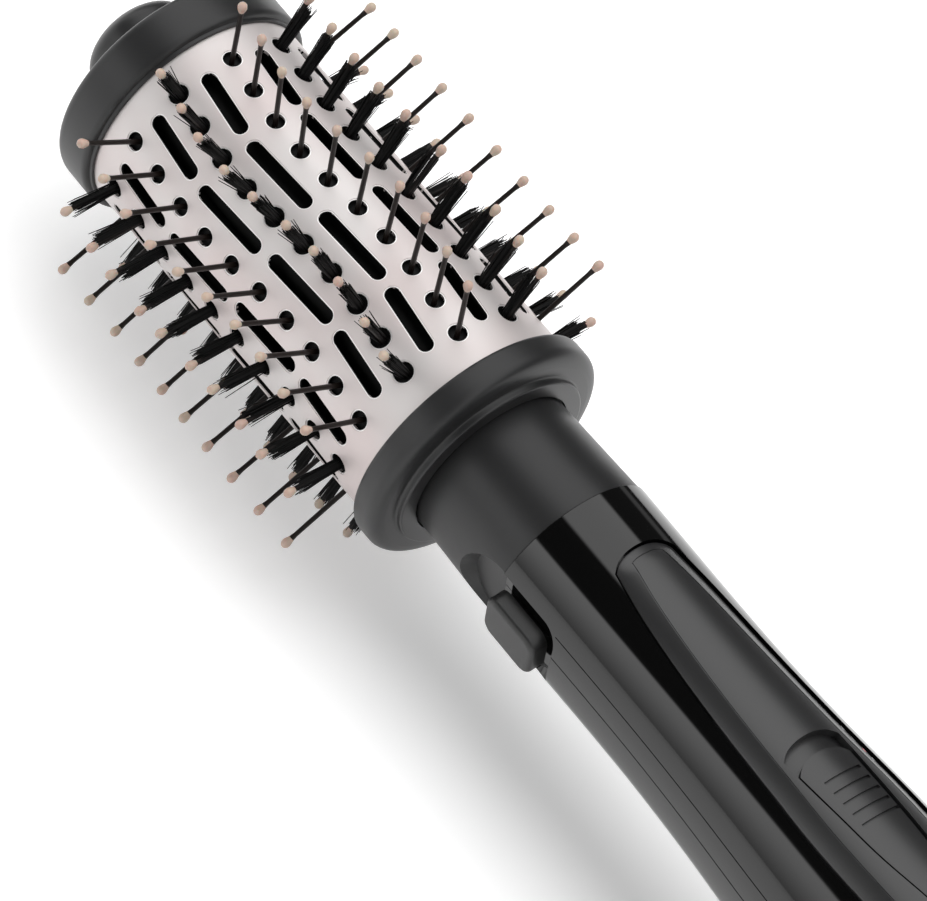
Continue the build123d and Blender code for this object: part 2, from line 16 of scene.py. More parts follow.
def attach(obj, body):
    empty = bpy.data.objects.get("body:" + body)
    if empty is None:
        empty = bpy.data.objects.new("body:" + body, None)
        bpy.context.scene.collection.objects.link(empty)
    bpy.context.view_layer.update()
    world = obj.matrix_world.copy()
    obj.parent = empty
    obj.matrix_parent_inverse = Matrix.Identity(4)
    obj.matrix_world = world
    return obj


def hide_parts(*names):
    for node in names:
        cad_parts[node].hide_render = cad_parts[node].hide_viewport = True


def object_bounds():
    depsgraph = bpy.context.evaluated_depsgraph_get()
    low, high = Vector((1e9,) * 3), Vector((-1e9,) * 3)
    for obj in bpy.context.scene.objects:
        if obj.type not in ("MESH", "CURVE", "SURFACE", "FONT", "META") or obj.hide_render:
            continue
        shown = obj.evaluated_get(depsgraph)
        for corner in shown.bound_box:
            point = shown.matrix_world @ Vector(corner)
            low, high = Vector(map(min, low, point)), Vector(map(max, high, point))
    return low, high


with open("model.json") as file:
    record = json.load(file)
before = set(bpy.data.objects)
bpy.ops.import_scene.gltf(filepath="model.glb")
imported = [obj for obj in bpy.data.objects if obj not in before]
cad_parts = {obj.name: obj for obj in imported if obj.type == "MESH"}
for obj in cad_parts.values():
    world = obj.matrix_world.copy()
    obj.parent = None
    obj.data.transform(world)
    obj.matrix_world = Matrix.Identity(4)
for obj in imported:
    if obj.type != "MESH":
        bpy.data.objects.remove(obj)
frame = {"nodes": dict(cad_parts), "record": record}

cad_box = [list(corner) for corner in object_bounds()]
nodes = frame["nodes"]

# %% [markdown]
# ## Working with turned shapes
# Almost every piece of the brush is turned about the X axis. A profile of (x, radius) points is
# spun into a closed wall; a half turn gets its two cut faces filled. Booleans then cut pockets
# and windows, as a mould's cores do.

# %% Profiles, solids and cuts
def spun(profile, steps=192, start=0.0, sweep=360.0):
    """Closed profile of (x, r) points turned about X; start and sweep are degrees from +Y over the top."""
    bm = bmesh.new()
    first = Matrix.Rotation(math.radians(start), 3, "X")
    points = [bm.verts.new(first @ Vector((x, r, 0))) for x, r in profile]
    edges = [bm.edges.new((a, b)) for a, b in zip(points, points[1:] + points[:1]) if a.co != b.co]
    full = sweep >= 360
    bmesh.ops.spin(bm, geom=points + edges, cent=(0, 0, 0), axis=(1, 0, 0), dvec=(0, 0, 0),
                   angle=math.radians(sweep), steps=steps, use_merge=full, use_duplicate=False)
    bmesh.ops.remove_doubles(bm, verts=bm.verts, dist=1e-4)
    bmesh.ops.dissolve_degenerate(bm, edges=bm.edges, dist=1e-5)
    if not full:
        bmesh.ops.holes_fill(bm, edges=[e for e in bm.edges if e.is_boundary], sides=0)
    bmesh.ops.recalc_face_normals(bm, faces=bm.faces)
    return bm


def radial(angle, x, distance=0.0):
    """Place at this angle from the top, towards +Y: its x runs to the tip and its z outwards."""
    a = math.radians(angle)
    out = Vector((0, math.sin(a), math.cos(a)))
    side = Vector((0, math.cos(a), -math.sin(a)))
    at = Vector((x, 0, 0)) + out * distance
    return Matrix(((1, side.x, out.x, at.x), (0, side.y, out.y, at.y), (0, side.z, out.z, at.z), (0, 0, 0, 1)))


def as_object(bm, name):
    mesh = bpy.data.meshes.new(name)
    bm.to_mesh(mesh)
    bm.free()
    obj = bpy.data.objects.new(name, mesh)
    bpy.context.scene.collection.objects.link(obj)
    return obj


def raised(bm, height):
    """Extrudes all the flat faces upwards into blocks, and returns the upper vertices."""
    top = bmesh.ops.extrude_face_region(bm, geom=list(bm.faces))["geom"]
    verts = [v for v in top if isinstance(v, bmesh.types.BMVert)]
    bmesh.ops.translate(bm, vec=(0, 0, height), verts=verts)
    return verts


def gather(into, part, matrix):
    """Puts a part down at this place in a larger mesh; the part is used up."""
    bmesh.ops.transform(part, matrix=matrix, verts=part.verts)
    bmesh.ops.recalc_face_normals(part, faces=part.faces)
    mesh = bpy.data.meshes.new("part")
    part.to_mesh(mesh)
    part.free()
    into.from_mesh(mesh)
    bpy.data.meshes.remove(mesh)


def bake(obj):
    """Applies the object's modifiers to its mesh."""
    graph = bpy.context.evaluated_depsgraph_get()
    graph.update()
    mesh = bpy.data.meshes.new_from_object(obj.evaluated_get(graph))
    obj.modifiers.clear()
    obj.data = mesh


def carve(obj, cutter, operation="DIFFERENCE"):
    """Cuts the closed cutter out of obj, or keeps only what lies in it; the cutter is used up."""
    tool = as_object(cutter, "cutter") if isinstance(cutter, bmesh.types.BMesh) else cutter
    cut = obj.modifiers.new("cut", "BOOLEAN")
    cut.operation, cut.object, cut.solver = operation, tool, "EXACT"
    bake(obj)
    bpy.data.objects.remove(tool)


def place(obj, body, material, slot, *replaced, sharp=32.0, bevel=0.0):
    """From millimetres to metres, softened edges, smooth faces, finish, and the body it moves with."""
    bm = bmesh.new()
    bm.from_mesh(obj.data)
    bmesh.ops.remove_doubles(bm, verts=bm.verts, dist=1e-3)
    bmesh.ops.scale(bm, vec=(0.001,) * 3, verts=bm.verts)
    for face in bm.faces:
        face.smooth = True
    for edge in bm.edges:
        edge.smooth = not (len(edge.link_faces) == 2 and edge.calc_face_angle(0) > math.radians(sharp))
    bm.to_mesh(obj.data)
    bm.free()
    if bevel:
        soft = obj.modifiers.new("soft edges", "BEVEL")
        soft.width, soft.segments, soft.limit_method = bevel * 0.001, 2, "ANGLE"
        soft.angle_limit, soft.use_clamp_overlap = math.radians(50), True
    kept = [face.material_index for face in obj.data.polygons]
    obj.data.materials.clear()
    finishes = material if isinstance(material, tuple) else (material,)
    for m in finishes:
        obj.data.materials.append(m)
    for face, index in zip(obj.data.polygons, kept):
        face.material_index = min(index, len(finishes) - 1)
    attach(obj, body)
    if replaced:
        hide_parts(*replaced)
    return obj


# %% [markdown]
# ## A shared surface texture
# Moulded plastic, paint and brushed metal all have a fine texture that only shows in the way
# light breaks on them. One node group makes it: fine noise for the relief, broader noise for
# uneven gloss. Each material sets its own scale and amounts.

# %% Surface texture group
def math_node(tree, operation, *values):
    """Maths node fed with sockets or plain numbers; gives its output socket."""
    node = tree.nodes.new("ShaderNodeMath")
    node.operation = operation
    for socket, value in zip(node.inputs, values):
        if isinstance(value, bpy.types.NodeSocket):
            tree.links.new(value, socket)
        else:
            socket.default_value = value
    return node.outputs[0]


def surface_group():
    group = bpy.data.node_groups.new("Fine surface", "ShaderNodeTree")
    for name, default in (("Scale", 900.0), ("Stretch", 1.0), ("Roughness", 0.4), ("Variation", 0.05)):
        socket = group.interface.new_socket(name, in_out="INPUT", socket_type="NodeSocketFloat")
        socket.default_value = default
    group.interface.new_socket("Roughness", in_out="OUTPUT", socket_type="NodeSocketFloat")
    group.interface.new_socket("Height", in_out="OUTPUT", socket_type="NodeSocketFloat")
    n, link = group.nodes, group.links.new
    inputs, outputs = n.new("NodeGroupInput"), n.new("NodeGroupOutput")
    coords, combine = n.new("ShaderNodeTexCoord"), n.new("ShaderNodeCombineXYZ")
    mapping = n.new("ShaderNodeMapping")
    combine.inputs[1].default_value = combine.inputs[2].default_value = 1.0
    link(inputs.outputs["Stretch"], combine.inputs[0])
    link(coords.outputs["Object"], mapping.inputs["Vector"])
    link(combine.outputs[0], mapping.inputs["Scale"])
    fine, broad = n.new("ShaderNodeTexNoise"), n.new("ShaderNodeTexNoise")
    fine.inputs["Detail"].default_value = 3.0
    broad.inputs["Scale"].default_value = 45.0
    link(mapping.outputs[0], fine.inputs["Vector"])
    link(inputs.outputs["Scale"], fine.inputs["Scale"])
    link(coords.outputs["Object"], broad.inputs["Vector"])
    centred = math_node(group, "SUBTRACT", broad.outputs["Fac"], 0.5)
    swing = math_node(group, "MULTIPLY", centred, inputs.outputs["Variation"])
    link(math_node(group, "ADD", swing, inputs.outputs["Roughness"]), outputs.inputs["Roughness"])
    link(fine.outputs["Fac"], outputs.inputs["Height"])
    return group


fine_surface = surface_group()


def finish(name, colour, roughness=0.4, metallic=0.0, scale=900.0, stretch=1.0, variation=0.05,
           relief=0.1, depth=0.00002, **sockets):
    """Material with the shared surface texture; extra sockets are set on the shader itself."""
    material = bpy.data.materials.new(name)
    material.use_nodes = True
    tree = material.node_tree
    shader = tree.nodes["Principled BSDF"]
    shader.inputs["Base Color"].default_value = (*colour, 1)
    shader.inputs["Metallic"].default_value = metallic
    for key, value in sockets.items():
        shader.inputs[key.replace("_", " ")].default_value = value
    texture = tree.nodes.new("ShaderNodeGroup")
    texture.node_tree = fine_surface
    for key, value in (("Scale", scale), ("Stretch", stretch), ("Roughness", roughness), ("Variation", variation)):
        texture.inputs[key].default_value = value
    bump = tree.nodes.new("ShaderNodeBump")
    bump.inputs["Strength"].default_value = relief
    bump.inputs["Distance"].default_value = depth
    tree.links.new(texture.outputs["Roughness"], shader.inputs["Roughness"])
    tree.links.new(texture.outputs["Height"], bump.inputs["Height"])
    tree.links.new(bump.outputs["Normal"], shader.inputs["Normal"])
    return material


def tint(material, second, scale):
    """Lets the colour drift towards a second one from place to place."""
    tree = material.node_tree
    shader = tree.nodes["Principled BSDF"]
    coords, noise, mix = (tree.nodes.new("ShaderNodeTexCoord"), tree.nodes.new("ShaderNodeTexNoise"),
                          tree.nodes.new("ShaderNodeMix"))
    mix.data_type = "RGBA"
    noise.inputs["Scale"].default_value = scale
    contrast = tree.nodes.new("ShaderNodeMapRange")
    contrast.inputs["From Min"].default_value, contrast.inputs["From Max"].default_value = 0.35, 0.65
    first, other = [socket for socket in mix.inputs if socket.type == "RGBA"]
    first.default_value, other.default_value = shader.inputs["Base Color"].default_value, (*second, 1)
    tree.links.new(coords.outputs["Object"], noise.inputs["Vector"])
    tree.links.new(noise.outputs["Fac"], contrast.inputs["Value"])
    tree.links.new(contrast.outputs["Result"], mix.inputs["Factor"])
    tree.links.new(next(socket for socket in mix.outputs if socket.type == "RGBA"), shader.inputs["Base Color"])


# %% [markdown]
# ## The finishes
# The housing is polished black plastic; the grip panel, neck, flanges and knob are the same
# plastic with a fine matte texture. The barrel is satin metal with a warm, pearly tint.

# %% Materials
gloss_black = finish("polished black", (0.002, 0.002, 0.002), 0.07, variation=0.02, relief=0.01,
                     Specular_IOR_Level=0.7)
soft_grip = finish("soft grip", (0.014, 0.014, 0.0145), 0.33, Specular_IOR_Level=0.85, scale=2500, relief=0.25)
matte_black = finish("matte black", (0.013, 0.013, 0.0135), 0.38, Specular_IOR_Level=0.5, scale=2200, relief=0.3)
button_black = finish("button black", (0.010, 0.010, 0.010), 0.40, Specular_IOR_Level=0.6, scale=2200, relief=0.2)
pearl_metal = finish("pearly barrel", (0.72, 0.685, 0.675), 0.52, 0.6, scale=1500, relief=0.2, variation=0.12)
tint(pearl_metal, (0.69, 0.615, 0.605), 45)
# A lighter colour for the ledge round the barrel's holes: a painted highlight on the rim.
rim_highlight_paint = finish("painted rim highlight", (0.90, 0.88, 0.87), 0.30, 0.4)
pin_brown = finish("pin brown", (0.009, 0.006, 0.005), 0.35, Specular_IOR_Level=0.3)
ball_beige = finish("pin ball", (0.52, 0.43, 0.34), 0.30, Subsurface_Weight=0.3, Subsurface_Scale=0.001)
tint(ball_beige, (0.50, 0.36, 0.30), 95)
fibre_black = finish("tuft fibre", (0.006, 0.006, 0.006), 0.6, Specular_IOR_Level=0.15)
# Near-black finish for the inside of the brush seen through the barrel's holes: painted shade.
interior_shade = finish("painted interior shade", (0.006, 0.006, 0.006), 0.6, Specular_IOR_Level=0.2)
steel = finish("steel", (0.55, 0.55, 0.56), 0.30, 1.0, stretch=8)
brass = finish("brass", (0.70, 0.52, 0.25), 0.30, 1.0)
mica = finish("mica", (0.62, 0.58, 0.50), 0.6)
board_green = finish("board", (0.05, 0.22, 0.10), 0.35)
motor_can = finish("motor can", (0.30, 0.30, 0.31), 0.35, 0.8)
fan_white = finish("fan plastic", (0.72, 0.72, 0.70), 0.4)
mark_pink = finish("mark pink", (0.55, 0.20, 0.22), 0.5)
mark_grey = finish("mark grey", (0.42, 0.42, 0.43), 0.5)

slot_finish = {
    "housing_black": gloss_black, "soft_grey": soft_grip, "matte_black": matte_black,
    "barrel_metal": pearl_metal, "steel": steel, "brass": brass, "bristle": fibre_black,
    "pin_plastic": pin_brown, "mica": mica, "board_green": board_green, "motor_can": motor_can,
    "fan_white": fan_white,
}
node_slot = {entry["node"]: entry["material_slot"] for entry in frame["record"]["subparts"]}
for name, node in nodes.items():
    node.data.materials.clear()
    node.data.materials.append(slot_finish[node_slot[name]])
# The inner parts seen through the holes are painted near black as shade instead of their own finishes.
for name in ("core_tube", "bristle_strips", "rear_ring", "front_ring", "drive_shaft"):
    nodes[name].data.materials[0] = interior_shade

# %% [markdown]
# ## The handle's form
# The housing swells in the palm and narrows towards the neck. Its radius is given at a few
# stations; a cubic curve runs through them, so highlights flow without kinks.

# %% Handle radius
HANDLE = ((24, 19.5), (54, 20.8), (85, 21.5), (115, 20.5), (140, 19.0), (160, 18.45), (197, 18.75))
HANDLE_BACK, HANDLE_FRONT, COLLAR_X, COLLAR_R, WALL = 24.0, 197.0, 176.0, 13.4, 3.0
SEAM = 0.35               # half the parting gap, in degrees


def through(stations, x):
    """Cubic curve through (x, value) stations."""
    stations = sorted(stations)
    i = max(0, min(len(stations) - 2, sum(1 for s in stations if s[0] <= x) - 1))
    def slope(k):
        a, b = stations[max(0, k - 1)], stations[min(len(stations) - 1, k + 1)]
        return (b[1] - a[1]) / (b[0] - a[0])
    (x0, y0), (x1, y1) = stations[i], stations[i + 1]
    h = x1 - x0
    t = (x - x0) / h
    return ((2 * t**3 - 3 * t**2 + 1) * y0 + (t**3 - 2 * t**2 + t) * h * slope(i)
            + (3 * t**2 - 2 * t**3) * y1 + (t**3 - t**2) * h * slope(i + 1))


def handle_r(x):
    return through(HANDLE, x)


def stations(x0, x1, step=1.5):
    count = max(1, round((x1 - x0) / step))
    return [x0 + (x1 - x0) * i / count for i in range(count + 1)]


def skin(x0, x1, low, high, sweep, step=1.0):
    """Piece of the housing's wall between two offsets from its surface, centred on the top."""
    upper = [(x, handle_r(x) + high) for x in stations(x0, x1, step)]
    lower = [(x, handle_r(x) + low) for x in stations(x0, x1, step)][::-1]
    return spun(upper + lower, int(sweep * 1.2), 90 - sweep / 2, sweep)


# %% [markdown]
# ## Outlines seen from above
# The grip panel and the slide switch are cut to outlines drawn in plan. Each outline is one
# face, pushed straight up into a prism that trims a piece of the housing's wall.

# %% Plan outlines
def prism(outline, low=5.0, high=30.0):
    bm = bmesh.new()
    bm.faces.new([bm.verts.new((x, y, low)) for x, y in outline])
    raised(bm, high - low)
    bmesh.ops.recalc_face_normals(bm, faces=bm.faces)
    return bm


def tongue(sides, front_x, back_x, grow=0.0):
    """Outline from (x, half) stations, closed by a rounded front and back."""
    xs = stations(min(s[0] for s in sides), max(s[0] for s in sides), 2.0)
    left = [(x, through(sides, x) + grow) for x in reversed(xs)]
    front, back = left[0], left[-1]
    nose = []
    for i in range(1, 16):
        across = 2 * i / 16 - 1
        bulge = 1 - across ** 2 * (0.55 + 0.45 * abs(across) ** 3)
        nose.append((front[0] + (front_x + grow - front[0]) * bulge, front[1] * across))
    tail = []
    for i in range(1, 12):
        across = 2 * i / 12 - 1
        bulge = math.sqrt(1 - across ** 2)
        tail.append((back[0] - (back[0] - back_x + grow) * bulge, -back[1] * across))
    return left + tail + [(x, -y) for x, y in reversed(left)] + nose


INLAY = ((181.6, 7.2), (172, 8.7), (158, 9.95), (133, 11.5), (115, 12.5), (85, 12.0), (54, 10.0), (38, 8.4))
SLIDER = ((129.6, 6.3), (120, 5.8), (109, 5.1), (98, 3.6), (90.5, 2.6))
WINDOW = ((133.6, 6.35),) + SLIDER
inlay_edge = tongue(INLAY, 184.0, 30.0)

# %% [markdown]
# ## Button recesses
# Each side button sits in a sloping pocket that runs from the housing into the neck. The cutter
# is a rounded face at the pocket's floor, extruded outwards and widened on the way.

# %% Recess cutter
BUTTON_ANGLE, BUTTON_X = 104.0, 189.4
RECESS_FLOOR, RECESS_RISE = 15.2, 5.0


def rounded_plate(x0, x1, half, back_r, front_r, steps=8):
    """Flat face with two corner radii, in the plane z = 0."""
    bm = bmesh.new()
    corners = [bm.verts.new(c) for c in ((x0, -half, 0), (x1, -half, 0), (x1, half, 0), (x0, half, 0))]
    bm.faces.new(corners)
    bmesh.ops.bevel(bm, geom=[corners[0], corners[3]], offset=back_r, segments=steps, profile=0.5,
                    affect="VERTICES", material=-1, offset_type="OFFSET")
    far = [v for v in bm.verts if v.co.x > x1 - 1e-4]
    bmesh.ops.bevel(bm, geom=far, offset=front_r, segments=steps, profile=0.5,
                    affect="VERTICES", material=-1, offset_type="OFFSET")
    bmesh.ops.remove_doubles(bm, verts=bm.verts, dist=1e-4)
    return bm


def recess_cutter(side):
    bm = rounded_plate(181.3, 205.3, 8.6, 4.0, 8.2)
    middle = Vector((193.3, 0, 0))
    spread = RECESS_RISE * math.tan(math.radians(30))
    for v in raised(bm, RECESS_RISE):
        away = v.co - middle
        v.co += Vector((math.copysign(spread, away.x) * min(1, abs(away.x) / 9),
                        math.copysign(spread, away.y) * min(1, abs(away.y) / 7), 0))
    bmesh.ops.transform(bm, matrix=radial(side * BUTTON_ANGLE, 0, RECESS_FLOOR), verts=bm.verts)
    bmesh.ops.recalc_face_normals(bm, faces=bm.faces)
    return bm


# %% [markdown]
# ## The two shells
# The housing is moulded in two halves that meet at a fine parting line. Both halves come from
# the same profile, and then lose the grip panel's seat and the button recesses.

# %% Upper and lower shell
LINE_ANGLE, LINE_DEPTH = 76, 0.12     # the fine line along each side
SCREW_X, SCREW_Y = (80.5, 118.5), (11.0, -11.0)


def half_shell(start):
    outside = [(x, handle_r(x)) for x in stations(HANDLE_BACK, HANDLE_FRONT)]
    inside = [(HANDLE_FRONT, COLLAR_R), (COLLAR_X, COLLAR_R)]
    inside += [(x, handle_r(x) - WALL) for x in stations(HANDLE_BACK, COLLAR_X, 6)][::-1]
    outside[0] = (HANDLE_BACK, handle_r(HANDLE_BACK) - 0.2)
    outside.insert(1, (HANDLE_BACK + 0.2, handle_r(HANDLE_BACK)))
    outside[-1] = (HANDLE_FRONT - 0.2, handle_r(HANDLE_FRONT))
    outside.append((HANDLE_FRONT, handle_r(HANDLE_FRONT) - 0.2))
    return as_object(spun(outside + inside, 160, start + SEAM, 180 - 2 * SEAM), "shell")


upper = half_shell(0)
upper.name = "housing_top"
seat = as_object(skin(28, 186, -2.0, 1.5, 110, 1.5), "seat")
carve(seat, prism(tongue(INLAY, 184.0, 30.0, 0.35)), "INTERSECT")
carve(upper, seat)
for side in (1, -1):
    carve(upper, recess_cutter(side))
    xs = stations(25, 181, 3)
    line = [(x, handle_r(x) - LINE_DEPTH) for x in xs] + [(x, handle_r(x) + 1) for x in reversed(xs)]
    carve(upper, spun(line, 1, 90 - side * LINE_ANGLE - 0.3, 0.6))
place(upper, "handle", gloss_black, "housing_black", "upper_shell", bevel=0.2)

lower = half_shell(180)
lower.name = "housing_bottom"
for side in (1, -1):
    carve(lower, recess_cutter(side))
for x in SCREW_X:
    for y in SCREW_Y:
        bm = bmesh.new()
        bmesh.ops.create_cone(bm, cap_ends=True, segments=32, radius1=2.3, radius2=2.3, depth=12,
                              matrix=Matrix.Translation((x, y, -18.8)))
        carve(lower, bm)
place(lower, "handle", gloss_black, "housing_black", "lower_shell", bevel=0.2)

# %% [markdown]
# ## Grip panel
# The soft panel follows the housing but stands a little proud, and its margin slopes down to
# the groove round it, which leaves a faint crease about three millimetres inside the edge.

# %% Grip panel
PANEL_PROUD, MARGIN_DEPTH, MARGIN_WIDTH = 0.15, 0.75, 3.4


def edge_distance(x, y, outline):
    best = 99.0
    for (ax, ay), (bx, by) in zip(outline, outline[1:] + outline[:1]):
        dx, dy = bx - ax, by - ay
        t = max(0, min(1, ((x - ax) * dx + (y - ay) * dy) / max(1e-9, dx * dx + dy * dy)))
        best = min(best, math.hypot(x - ax - dx * t, y - ay - dy * t))
    return best


def margin_drop(x, y):
    """How far the panel's surface has sloped down here, near its edge."""
    return MARGIN_DEPTH * max(0.0, 1 - edge_distance(x, y, inlay_edge) / MARGIN_WIDTH)


panel = as_object(skin(28, 186, -1.85, PANEL_PROUD, 100, 1.0), "grip_panel")
carve(panel, prism(inlay_edge), "INTERSECT")
crease = as_object(skin(30, 185, 0.0, 1.0, 90, 2.0), "crease")
carve(crease, prism(tongue(INLAY, 185.6, 29.0, -3.35)), "INTERSECT")
carve(crease, prism(tongue(INLAY, 185.6, 29.0, -3.6)))
carve(panel, crease)
carve(panel, prism(tongue(WINDOW, 135.3, 86.6, 0.6)))
for v in panel.data.vertices:
    r = math.hypot(v.co.y, v.co.z)
    if r > handle_r(v.co.x) - 0.2:
        drop = margin_drop(v.co.x, v.co.y)
        v.co.y *= (r - drop) / r
        v.co.z *= (r - drop) / r
place(panel, "handle", soft_grip, "soft_grey", "grip_inlay", bevel=0.15)

# %% [markdown]
# ## Slide switch
# The slider is a tapering tongue in its window, with five thumb grooves across it.

# %% Slider
slider = as_object(skin(86, 134, -1.6, -0.3, 50, 0.8), "slider")
carve(slider, prism(tongue(SLIDER, 132.0, 87.2)), "INTERSECT")
for i in range(5):
    x = 126.0 - 2.6 * i
    bottom, top = handle_r(x) - 0.85, handle_r(x) + 1
    groove = [(x - 0.35, bottom), (x + 0.35, bottom), (x + 0.35, top), (x - 0.35, top)]
    carve(slider, spun(groove, 24, 79, 27))
place(slider, "power_slider", soft_grip, "matte_black", "power_slider", bevel=0.12)

# The window's floor is a thin matte plate on which the slider runs
plate = as_object(skin(84, 138, -1.98, -1.68, 60, 2.0), "window_floor")
carve(plate, prism(tongue(WINDOW, 135.6, 86.2, 0.8)), "INTERSECT")
place(plate, "handle", soft_grip, "matte_black")

# %% [markdown]
# ## Switch marks
# Beside the switch are small printed marks for its positions: two bars, one bar, a dot and a
# ring. They are thin shapes that lie flush on the panel's sloping margin.

# %% Marks
def mark(shape, x, colour, name, across=-33.0):
    bm = bmesh.new()
    if shape == "dot":
        bmesh.ops.create_cone(bm, cap_ends=True, segments=24, radius1=0.55, radius2=0.55, depth=0.04)
    elif shape == "ring":
        bmesh.ops.create_circle(bm, segments=24, radius=0.6)
        outer = list(bm.edges)
        inner = bmesh.ops.extrude_edge_only(bm, edges=outer)["geom"]
        bmesh.ops.scale(bm, vec=(0.6, 0.6, 1), verts=[v for v in inner if isinstance(v, bmesh.types.BMVert)])
        bmesh.ops.solidify(bm, geom=list(bm.faces), thickness=0.04)
    else:
        for y in ((-0.35, 0.35) if shape == "two" else (0.0,)):
            bar = Matrix.Translation((0, y, 0)) @ Matrix.Diagonal((1.3, 0.22, 0.04, 1))
            bmesh.ops.create_cube(bm, size=1.0, matrix=bar)
    bmesh.ops.recalc_face_normals(bm, faces=bm.faces)
    y = handle_r(x) * math.sin(math.radians(across))
    at = radial(across, x, handle_r(x) + PANEL_PROUD - margin_drop(x, y))
    tilt = Matrix.Rotation(math.atan(MARGIN_DEPTH / MARGIN_WIDTH), 4, "X")
    bmesh.ops.transform(bm, matrix=at @ tilt, verts=bm.verts)
    place(as_object(bm, name), "handle", colour, "soft_grey")


mark("two", 134.7, mark_grey, "mark_two")
mark("one", 131.9, mark_grey, "mark_one")
mark("dot", 129.0, mark_pink, "mark_dot")
mark("ring", 126.5, mark_grey, "mark_ring")

# %% [markdown]
# ## Side buttons
# Each button is a rounded block that stands in its sloping pocket.

# %% Buttons
BUTTON_FOOT, BUTTON_HEIGHT = 16.5, 4.0


def button(side, name):
    bm = rounded_plate(BUTTON_X - 7, BUTTON_X + 7, 5.8, 2.8, 2.8)
    raised(bm, BUTTON_HEIGHT)
    rim = [e for e in bm.edges if all(v.co.z > BUTTON_HEIGHT - 0.1 for v in e.verts)]
    bmesh.ops.bevel(bm, geom=rim, offset=1.1, segments=5, profile=0.5, affect="EDGES", material=-1)
    bmesh.ops.transform(bm, matrix=radial(side * BUTTON_ANGLE, 0, BUTTON_FOOT), verts=bm.verts)
    bmesh.ops.recalc_face_normals(bm, faces=bm.faces)
    place(as_object(bm, name + "_cap"), name, button_black, "matte_black", name)


button(1, "left_button")
button(-1, "right_button")

# %% [markdown]
# ## Neck, flanges and knob
# These are all turned pieces in matte plastic. Their edges are rounded in the profile itself.

# %% Turned plastic pieces
def rounded(a, corner, b, steps=6):
    """Points that round the corner between a and b."""
    (ax, ay), (cx, cy), (bx, by) = a, corner, b
    return [((1 - t) ** 2 * ax + 2 * t * (1 - t) * cx + t * t * bx,
             (1 - t) ** 2 * ay + 2 * t * (1 - t) * cy + t * t * by) for t in [i / steps for i in range(steps + 1)]]


neck = as_object(spun([(194.2, 11.8), (194.2, 13.3), (197.0, 13.3)]
                      + rounded((197.0, 18.2), (197.0, 18.4), (197.2, 18.4), 2)
                      + [(205, 18.15), (213, 17.9)] + rounded((221.5, 17.7), (221.8, 17.7), (221.8, 17.4), 2)
                      + [(221.8, 15.0), (229.0, 15.0), (229.0, 12.7), (205.0, 12.7), (205.0, 11.8)]), "neck")
for side in (1, -1):
    carve(neck, recess_cutter(side))
place(neck, "handle", matte_black, "matte_black", "neck_sleeve", bevel=0.12)

flange_profile = ([(220.9, 18.1)] + rounded((220.9, 21.2), (220.9, 21.7), (221.4, 21.7), 4)
                  + rounded((222.0, 21.7), (222.4, 21.8), (222.4, 22.3), 3) + [(222.4, 24.2)]
                  + rounded((222.5, 24.6), (222.9, 27.4), (225.2, 27.4), 10)
                  + rounded((227.8, 27.4), (228.9, 27.4), (228.9, 26.3), 6)
                  + [(228.9, 25.12), (225.5, 25.12), (225.5, 16.6), (222.5, 16.6), (222.5, 18.1)])
place(as_object(spun(flange_profile, 256), "flange_rear"), "brush_head", matte_black, "matte_black", "rear_flange")

tip_profile = ([(318.7, 25.12)] + rounded((318.7, 25.5), (318.7, 25.7), (318.9, 25.7), 2)
               + rounded((319.4, 25.8), (319.6, 27.0), (320.9, 27.0), 6)
               + rounded((327.3, 27.0), (329.5, 27.0), (329.5, 24.8), 8)
               + [(329.5, 14.0), (329.5, 0.0), (320.0, 0.0), (320.0, 2.02), (313.0, 2.02), (313.0, 5.0),
                  (326.8, 5.0), (326.8, 22.5), (322.9, 22.5), (322.9, 25.12)])
place(as_object(spun(tip_profile, 256), "flange_tip"), "brush_head", matte_black, "matte_black", "tip_flange")

knob_dome = [(338.6 + 6 * math.sin(a), 12.0 * math.cos(a)) for a in [math.pi / 2 * i / 14 for i in range(15)]]
knob_dome[-1] = (344.6, 0.0)
place(as_object(spun([(329.5, 0.0)] + rounded((329.5, 12.6), (329.7, 12.0), (331.0, 12.0), 5) + knob_dome), "knob"),
      "brush_head", matte_black, "matte_black", "tip_knob")

# %% [markdown]
# ## Tail cap and gland
# Air is drawn in through slots round the tail. The cord gland turns in the middle of the cap.

# %% Tail
AIR_SLOTS = 16
cap_profile = ([(3.0, 6.55), (3.0, 12.4)] + rounded((3.0, 13.0), (3.6, 16.9), (13.0, 18.3), 10)
               + rounded((14.0, 18.45), (20.0, 19.2), (23.8, 19.45), 6)
               + [(24.0, 19.3), (24.0, 16.3), (27.0, 16.3), (27.0, 14.7), (22.0, 14.7), (22.0, 16.3)]
               + [(14.0, 15.9), (8.0, 14.2), (5.4, 12.0), (5.4, 9.0), (14.0, 9.0), (14.0, 6.55)])
cap = as_object(spun(cap_profile), "cap")
slots = bmesh.new()
for i in range(AIR_SLOTS):
    one = rounded_plate(8.0, 19.0, 0.9, 0.89, 0.89, 4)
    raised(one, 12)
    gather(slots, one, radial(360 / AIR_SLOTS * (i + 0.5), 0, 10.5))
carve(cap, slots)
place(cap, "handle", matte_black, "matte_black", "tail_cap", bevel=0.15)

gland_profile = (rounded((0.0, 5.2), (0.0, 6.5), (1.3, 6.5), 5)
                 + [(14.1, 6.5), (14.1, 8.2), (16.1, 8.2), (16.1, 3.4), (0.6, 3.4), (0.0, 4.0)])
place(as_object(spun(gland_profile, 96), "gland"), "cord_swivel", soft_grip, "soft_grey", "swivel_gland")
